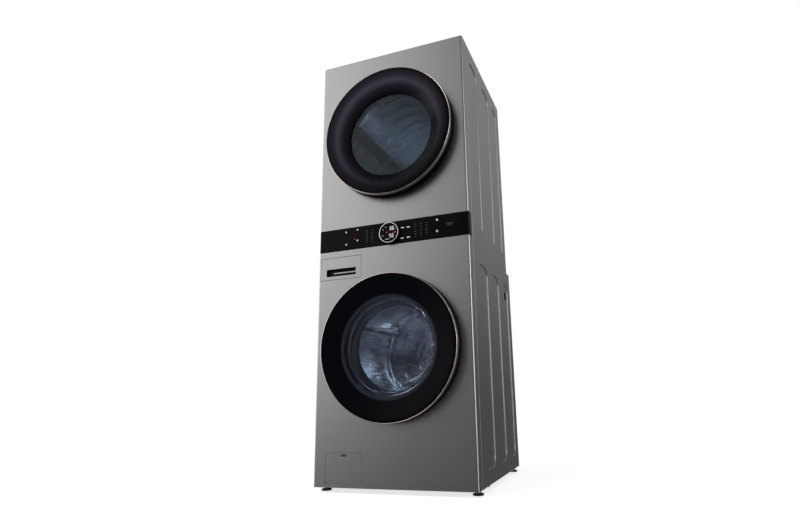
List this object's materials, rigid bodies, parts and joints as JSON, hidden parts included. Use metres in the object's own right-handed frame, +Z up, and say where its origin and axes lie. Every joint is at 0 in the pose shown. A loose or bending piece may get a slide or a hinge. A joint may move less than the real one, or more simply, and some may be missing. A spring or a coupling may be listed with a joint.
{
  "type": "washer dryer stack",
  "caption": "Full-height laundry stack: front-loading washer below, tumble dryer above, round doors, central control band with dial, detergent drawer and levelling feet.",
  "frame": {"origin": "on the floor under the centre of the whole stack's box, doors, hose connections and duct included", "axes": "+Z up; the doors face -Y; +X to the right of someone facing the doors"},
  "size_m": [0.686, 0.771, 1.89],
  "materials": {
    "graphite_steel": "brushed graphite steel sheet",
    "galvanised_steel": "galvanised sheet",
    "stainless_steel": "stainless sheet",
    "steel_fittings": "machined and zinc plated steel",
    "champagne_metal": "polished champagne",
    "black_gloss": "high gloss",
    "smoked_glass": "smoked",
    "clear_glass": "clear",
    "dark_plastic": "moulded, fine texture",
    "grey_plastic": "moulded",
    "white_plastic": "moulded",
    "cast_aluminium": "cast",
    "cast_motor": "painted casing",
    "black_rubber": "moulded rubber",
    "grey_rubber": "soft moulded rubber"
  },
  "bodies": {
    "cabinet": {"washer_cabinet": "graphite_steel", "dryer_cabinet": "graphite_steel", "washer_front_panel": "graphite_steel", "dryer_front_panel": "graphite_steel", "top_cover": "graphite_steel", "base_frame": "galvanised_steel", "middle_deck": "galvanised_steel", "dryer_rear_bulkhead": "galvanised_steel", "dryer_front_bulkhead": "galvanised_steel", "heater_housing": "galvanised_steel", "blower_housing": "galvanised_steel", "door_hinge_brackets": "steel_fittings", "suspension_springs": "steel_fittings", "control_panel": "black_gloss", "dial_display": "black_gloss", "door_latch_units": "dark_plastic", "lint_filter": "dark_plastic", "power_terminal_block": "dark_plastic", "damper_cylinders": "dark_plastic", "dispenser_housing": "grey_plastic", "drain_pump": "grey_plastic", "inlet_valves": "white_plastic", "dryer_motor": "cast_motor", "drive_belt": "black_rubber", "door_gasket": "grey_rubber"},
    "dryer_door": {"dryer_door_cover": "black_gloss", "dryer_door_trim_ring": "champagne_metal", "dryer_door_window": "smoked_glass", "dryer_door_inner_frame": "dark_plastic", "dryer_door_hinge_leaf": "steel_fittings", "dryer_door_latch_hook": "white_plastic"},
    "washer_door": {"washer_door_rim": "black_gloss", "washer_door_trim_ring": "champagne_metal", "washer_door_glass": "smoked_glass", "washer_door_bowl": "clear_glass", "washer_door_inner_frame": "dark_plastic", "washer_door_hinge_leaf": "steel_fittings", "washer_door_latch_hook": "white_plastic"},
    "dryer_drum_assembly": {"dryer_drum": "stainless_steel", "dryer_baffles": "white_plastic"},
    "left_rollers": {"support_roller_left": "black_rubber"},
    "right_rollers": {"support_roller_right": "black_rubber"},
    "dryer_rotor": {"motor_shaft": "steel_fittings", "blower_wheel": "dark_plastic"},
    "wash_tub": {"tub_front": "grey_plastic", "tub_rear": "grey_plastic", "damper_rods": "steel_fittings"},
    "wash_drum_assembly": {"wash_drum": "stainless_steel", "wash_drum_lifters": "white_plastic", "wash_drum_spider": "cast_aluminium", "motor_rotor": "steel_fittings"},
    "detergent_drawer": {"drawer_front": "graphite_steel", "drawer_tray": "grey_plastic"},
    "pump_flap": {"filter_flap": "graphite_steel"},
    "pump_cap": {"pump_filter_cap": "dark_plastic"},
    "dial": {"dial_ring": "champagne_metal"},
    "front_left_foot": {"foot_front_left": "black_rubber"},
    "front_right_foot": {"foot_front_right": "black_rubber"},
    "rear_left_foot": {"foot_rear_left": "black_rubber"},
    "rear_right_foot": {"foot_rear_right": "black_rubber"}
  },
  "joints": [
    {"name": "dryer_door_hinge", "type": "hinge", "parent": "cabinet", "child": "dryer_door", "pos_m": [-0.286, -0.3655, 1.485], "axis": [0, 0, -1], "range_deg": [0, 110]},
    {"name": "washer_door_hinge", "type": "hinge", "parent": "cabinet", "child": "washer_door", "pos_m": [-0.286, -0.3655, 0.5555], "axis": [0, 0, -1], "range_deg": [0, 110]},
    {"name": "dryer_drum_spin", "type": "hinge", "parent": "cabinet", "child": "dryer_drum_assembly", "pos_m": [0, -0.0455, 1.485], "axis": [0, 1, 0], "continuous": true},
    {"name": "left_roller_spin", "type": "hinge", "parent": "cabinet", "child": "left_rollers", "pos_m": [-0.198, -0.2505, 1.20211], "axis": [0, 1, 0], "continuous": true},
    {"name": "right_roller_spin", "type": "hinge", "parent": "cabinet", "child": "right_rollers", "pos_m": [0.198, -0.2505, 1.20211], "axis": [0, 1, 0], "continuous": true},
    {"name": "dryer_motor_spin", "type": "hinge", "parent": "cabinet", "child": "dryer_rotor", "pos_m": [0.13, -0.1055, 1.07], "axis": [0, 1, 0], "continuous": true},
    {"name": "tub_suspension", "type": "slide", "parent": "cabinet", "child": "wash_tub", "axis": [0, 0, 1], "range_m": [-0.01, 0.01], "stiffness_N_per_m": 12000, "springref_m": 0.02388, "deforming": ["suspension_springs"]},
    {"name": "wash_drum_spin", "type": "hinge", "parent": "wash_tub", "child": "wash_drum_assembly", "pos_m": [0, -0.0155, 0.5555], "axis": [0, 1, 0], "continuous": true},
    {"name": "drawer_slide", "type": "slide", "parent": "cabinet", "child": "detergent_drawer", "axis": [0, -1, 0], "range_m": [0, 0.22]},
    {"name": "pump_flap_hinge", "type": "hinge", "parent": "cabinet", "child": "pump_flap", "pos_m": [-0.208, -0.334, 0.037], "axis": [1, 0, 0], "range_deg": [0, 95]},
    {"name": "pump_cap_turn", "type": "hinge", "parent": "cabinet", "child": "pump_cap", "pos_m": [-0.208, -0.3055, 0.093], "axis": [0, 1, 0], "range_deg": [0, 360]},
    {"name": "dial_turn", "type": "hinge", "parent": "cabinet", "child": "dial", "pos_m": [0, -0.3455, 1.028], "axis": [0, 1, 0], "continuous": true},
    {"name": "front_left_foot_screw", "type": "slide", "parent": "cabinet", "child": "front_left_foot", "axis": [0, 0, -1], "range_m": [0, 0.015]},
    {"name": "front_right_foot_screw", "type": "slide", "parent": "cabinet", "child": "front_right_foot", "axis": [0, 0, -1], "range_m": [0, 0.015]},
    {"name": "rear_left_foot_screw", "type": "slide", "parent": "cabinet", "child": "rear_left_foot", "axis": [0, 0, -1], "range_m": [0, 0.015]},
    {"name": "rear_right_foot_screw", "type": "slide", "parent": "cabinet", "child": "rear_right_foot", "axis": [0, 0, -1], "range_m": [0, 0.015]}
  ],
  "couplings": [
    {"joint": "left_roller_spin", "follows": "dryer_drum_spin", "ratio": -8.8571},
    {"joint": "right_roller_spin", "follows": "dryer_drum_spin", "ratio": -8.8571},
    {"joint": "dryer_motor_spin", "follows": "dryer_drum_spin", "ratio": 20.667}
  ]
}
